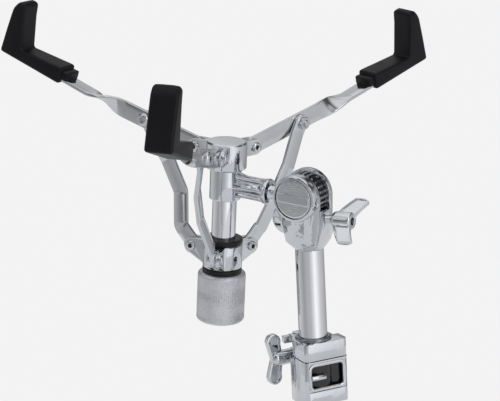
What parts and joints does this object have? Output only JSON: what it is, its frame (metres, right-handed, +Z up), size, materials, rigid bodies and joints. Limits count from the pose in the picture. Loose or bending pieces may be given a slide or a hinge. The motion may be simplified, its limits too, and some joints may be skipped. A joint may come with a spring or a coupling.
{
  "type": "snare drum stand",
  "caption": "Folding tripod stand with a sliding centre tube, tilter and screw-tightened basket whose rubber-tipped arms grip a snare drum",
  "frame": {"origin": "on the floor, on the common axis of the base tube and the upper tube", "axes": "+Z up along the tubes; +X from the basket post towards the tilter tube; +Y along the tilter axle, from the boss with the cap to the rear cheek"},
  "size_m": [0.5426, 0.4804, 0.6878],
  "materials": {
    "chrome_tube": "polished chrome plate",
    "chrome_sheet": "polished chrome plate",
    "chrome_strip": "polished chrome plate",
    "chrome_casting": "polished chrome plate",
    "chrome_rivet": "polished chrome plate",
    "chrome_fastener": "polished chrome plate",
    "chrome_screw": "polished chrome plate",
    "satin_metal": "satin chrome",
    "foot_rubber": "black moulded rubber",
    "grip_rubber": "black moulded rubber",
    "black_plastic": "black moulded plastic"
  },
  "bodies": {
    "base": {"base_tube": "chrome_tube", "base_plug": "foot_rubber", "brace_collar": "chrome_casting", "brace_pins": "chrome_rivet", "height_clamp": "chrome_casting", "clamp_bushing": "black_plastic", "clamp_frame": "chrome_fastener", "clamp_barrel": "chrome_fastener", "clamp_bolt": "chrome_fastener"},
    "leg_slider": {"leg_collar": "chrome_casting", "leg_pins": "chrome_rivet"},
    "leg_bolt": {"leg_collar_bolt": "chrome_fastener"},
    "clamp_nut": {"clamp_wing": "chrome_fastener"},
    "upper": {"upper_tube": "chrome_tube", "memory_lock": "chrome_casting", "lock_screw": "chrome_fastener", "tilter_front": "chrome_casting", "tilter_rear": "chrome_casting"},
    "tilter_bolt": {"tilter_wing_bolt": "chrome_fastener"},
    "tilt": {"t_arm": "chrome_casting", "tilter_axle": "chrome_fastener", "tilter_cap": "chrome_fastener", "basket_post": "chrome_tube", "hub": "satin_metal", "hub_pins": "chrome_rivet"},
    "collar": {"lower_collar": "chrome_casting", "collar_ring": "black_plastic", "collar_washer": "black_plastic", "collar_pins": "chrome_rivet"},
    "nut": {"knurled_nut": "satin_metal"},
    "leg_1_body": {"leg_1": "chrome_sheet", "leg_rivet_1": "chrome_rivet", "foot_1": "foot_rubber"},
    "brace_1_body": {"brace_1": "chrome_sheet", "brace_rivets_1": "chrome_rivet"},
    "arm_1_body": {"arm_1": "chrome_strip", "grip_1": "grip_rubber", "link_screw_1": "chrome_screw"},
    "link_1_body": {"link_1": "chrome_strip", "link_nut_1": "chrome_screw"},
    "leg_2_body": {"leg_2": "chrome_sheet", "leg_rivet_2": "chrome_rivet", "foot_2": "foot_rubber"},
    "brace_2_body": {"brace_2": "chrome_sheet", "brace_rivets_2": "chrome_rivet"},
    "arm_2_body": {"arm_2": "chrome_strip", "grip_2": "grip_rubber", "link_screw_2": "chrome_screw"},
    "link_2_body": {"link_2": "chrome_strip", "link_nut_2": "chrome_screw"},
    "leg_3_body": {"leg_3": "chrome_sheet", "leg_rivet_3": "chrome_rivet", "foot_3": "foot_rubber"},
    "brace_3_body": {"brace_3": "chrome_sheet", "brace_rivets_3": "chrome_rivet"},
    "arm_3_body": {"arm_3": "chrome_strip", "grip_3": "grip_rubber", "link_screw_3": "chrome_screw"},
    "link_3_body": {"link_3": "chrome_strip", "link_nut_3": "chrome_screw"}
  },
  "joints": [
    {"name": "leg_collar_slide", "type": "slide", "parent": "base", "child": "leg_slider", "axis": [0, 0, 1], "range_m": [0, 0.07432]},
    {"name": "leg_bolt_turn", "type": "hinge", "parent": "leg_slider", "child": "leg_bolt", "pos_m": [0, 0, 0.21773], "axis": [0.5, 0.866, 0], "continuous": true},
    {"name": "height_slide", "type": "slide", "parent": "base", "child": "upper", "axis": [0, 0, 1], "range_m": [0, 0.15]},
    {"name": "clamp_nut_turn", "type": "hinge", "parent": "base", "child": "clamp_nut", "pos_m": [-0.01803, 0.01171, 0.411], "axis": [0.5446, 0.8387, 0], "continuous": true},
    {"name": "tilter_bolt_turn", "type": "hinge", "parent": "upper", "child": "tilter_bolt", "pos_m": [0.033, -0.0051, 0.5274], "axis": [1, 0, 0], "continuous": true},
    {"name": "basket_tilt", "type": "hinge", "parent": "upper", "child": "tilt", "pos_m": [0, -0.0051, 0.545], "axis": [0, 1, 0], "range_deg": [-6, 90]},
    {"name": "collar_slide", "type": "slide", "parent": "tilt", "child": "collar", "axis": [0.1045, 0, 0.9945], "range_m": [0, 0.02532]},
    {"name": "nut_turn", "type": "hinge", "parent": "collar", "child": "nut", "pos_m": [-0.07894, -0.0051, 0.45787], "axis": [0.1045, 0, 0.9945], "range_deg": [0, 1825]},
    {"name": "leg_1_hinge", "type": "hinge", "parent": "leg_slider", "child": "leg_1_body", "pos_m": [0.03, 0, 0.21773], "axis": [0, 1, 0], "range_deg": [0, 36.6]},
    {"name": "brace_1_hinge", "type": "hinge", "parent": "base", "child": "brace_1_body", "pos_m": [0.03, 0, 0.05773], "axis": [0, -1, 0], "range_deg": [0, 36.6]},
    {"name": "arm_1_hinge", "type": "hinge", "parent": "tilt", "child": "arm_1_body", "pos_m": [-0.09296, -0.0051, 0.578], "axis": [0, 1, 0], "range_deg": [0, 63.4]},
    {"name": "link_1_hinge", "type": "hinge", "parent": "collar", "child": "link_1_body", "pos_m": [-0.10144, -0.0051, 0.49734], "axis": [0, 1, 0], "range_deg": [0, 22.05]},
    {"name": "leg_2_hinge", "type": "hinge", "parent": "leg_slider", "child": "leg_2_body", "pos_m": [-0.015, 0.02598, 0.21773], "axis": [-0.866, -0.5, 0], "range_deg": [0, 36.6]},
    {"name": "brace_2_hinge", "type": "hinge", "parent": "base", "child": "brace_2_body", "pos_m": [-0.015, 0.02598, 0.05773], "axis": [0.866, 0.5, 0], "range_deg": [0, 36.6]},
    {"name": "arm_2_hinge", "type": "hinge", "parent": "tilt", "child": "arm_2_body", "pos_m": [-0.05846, 0.0201, 0.57437], "axis": [0.9458, -0.309, -0.0994], "range_deg": [0, 63.4]},
    {"name": "link_2_hinge", "type": "hinge", "parent": "collar", "child": "link_2_body", "pos_m": [-0.06694, 0.0201, 0.49372], "axis": [0.9458, -0.309, -0.0994], "range_deg": [0, 22.05]},
    {"name": "leg_3_hinge", "type": "hinge", "parent": "leg_slider", "child": "leg_3_body", "pos_m": [-0.015, -0.02598, 0.21773], "axis": [0.866, -0.5, 0], "range_deg": [0, 36.6]},
    {"name": "brace_3_hinge", "type": "hinge", "parent": "base", "child": "brace_3_body", "pos_m": [-0.015, -0.02598, 0.05773], "axis": [-0.866, 0.5, 0], "range_deg": [0, 36.6]},
    {"name": "arm_3_hinge", "type": "hinge", "parent": "tilt", "child": "arm_3_body", "pos_m": [-0.05846, -0.0303, 0.57437], "axis": [-0.9458, -0.309, 0.0994], "range_deg": [0, 63.4]},
    {"name": "link_3_hinge", "type": "hinge", "parent": "collar", "child": "link_3_body", "pos_m": [-0.06694, -0.0303, 0.49372], "axis": [-0.9458, -0.309, 0.0994], "range_deg": [0, 22.05]}
  ],
  "couplings": [
    {"joint": "nut_turn", "follows": "collar_slide", "rad_per_m": 1256.6},
    {"joint": "leg_1_hinge", "follows": "leg_collar_slide", "rad_per_m": 8.5721},
    {"joint": "brace_1_hinge", "follows": "leg_collar_slide", "rad_per_m": 8.5721},
    {"joint": "arm_1_hinge", "follows": "collar_slide", "rad_per_m": 43.631},
    {"joint": "link_1_hinge", "follows": "collar_slide", "rad_per_m": 15.129},
    {"joint": "leg_2_hinge", "follows": "leg_collar_slide", "rad_per_m": 8.5721},
    {"joint": "brace_2_hinge", "follows": "leg_collar_slide", "rad_per_m": 8.5721},
    {"joint": "arm_2_hinge", "follows": "collar_slide", "rad_per_m": 43.631},
    {"joint": "link_2_hinge", "follows": "collar_slide", "rad_per_m": 15.129},
    {"joint": "leg_3_hinge", "follows": "leg_collar_slide", "rad_per_m": 8.5721},
    {"joint": "brace_3_hinge", "follows": "leg_collar_slide", "rad_per_m": 8.5721},
    {"joint": "arm_3_hinge", "follows": "collar_slide", "rad_per_m": 43.631},
    {"joint": "link_3_hinge", "follows": "collar_slide", "rad_per_m": 15.129}
  ]
}
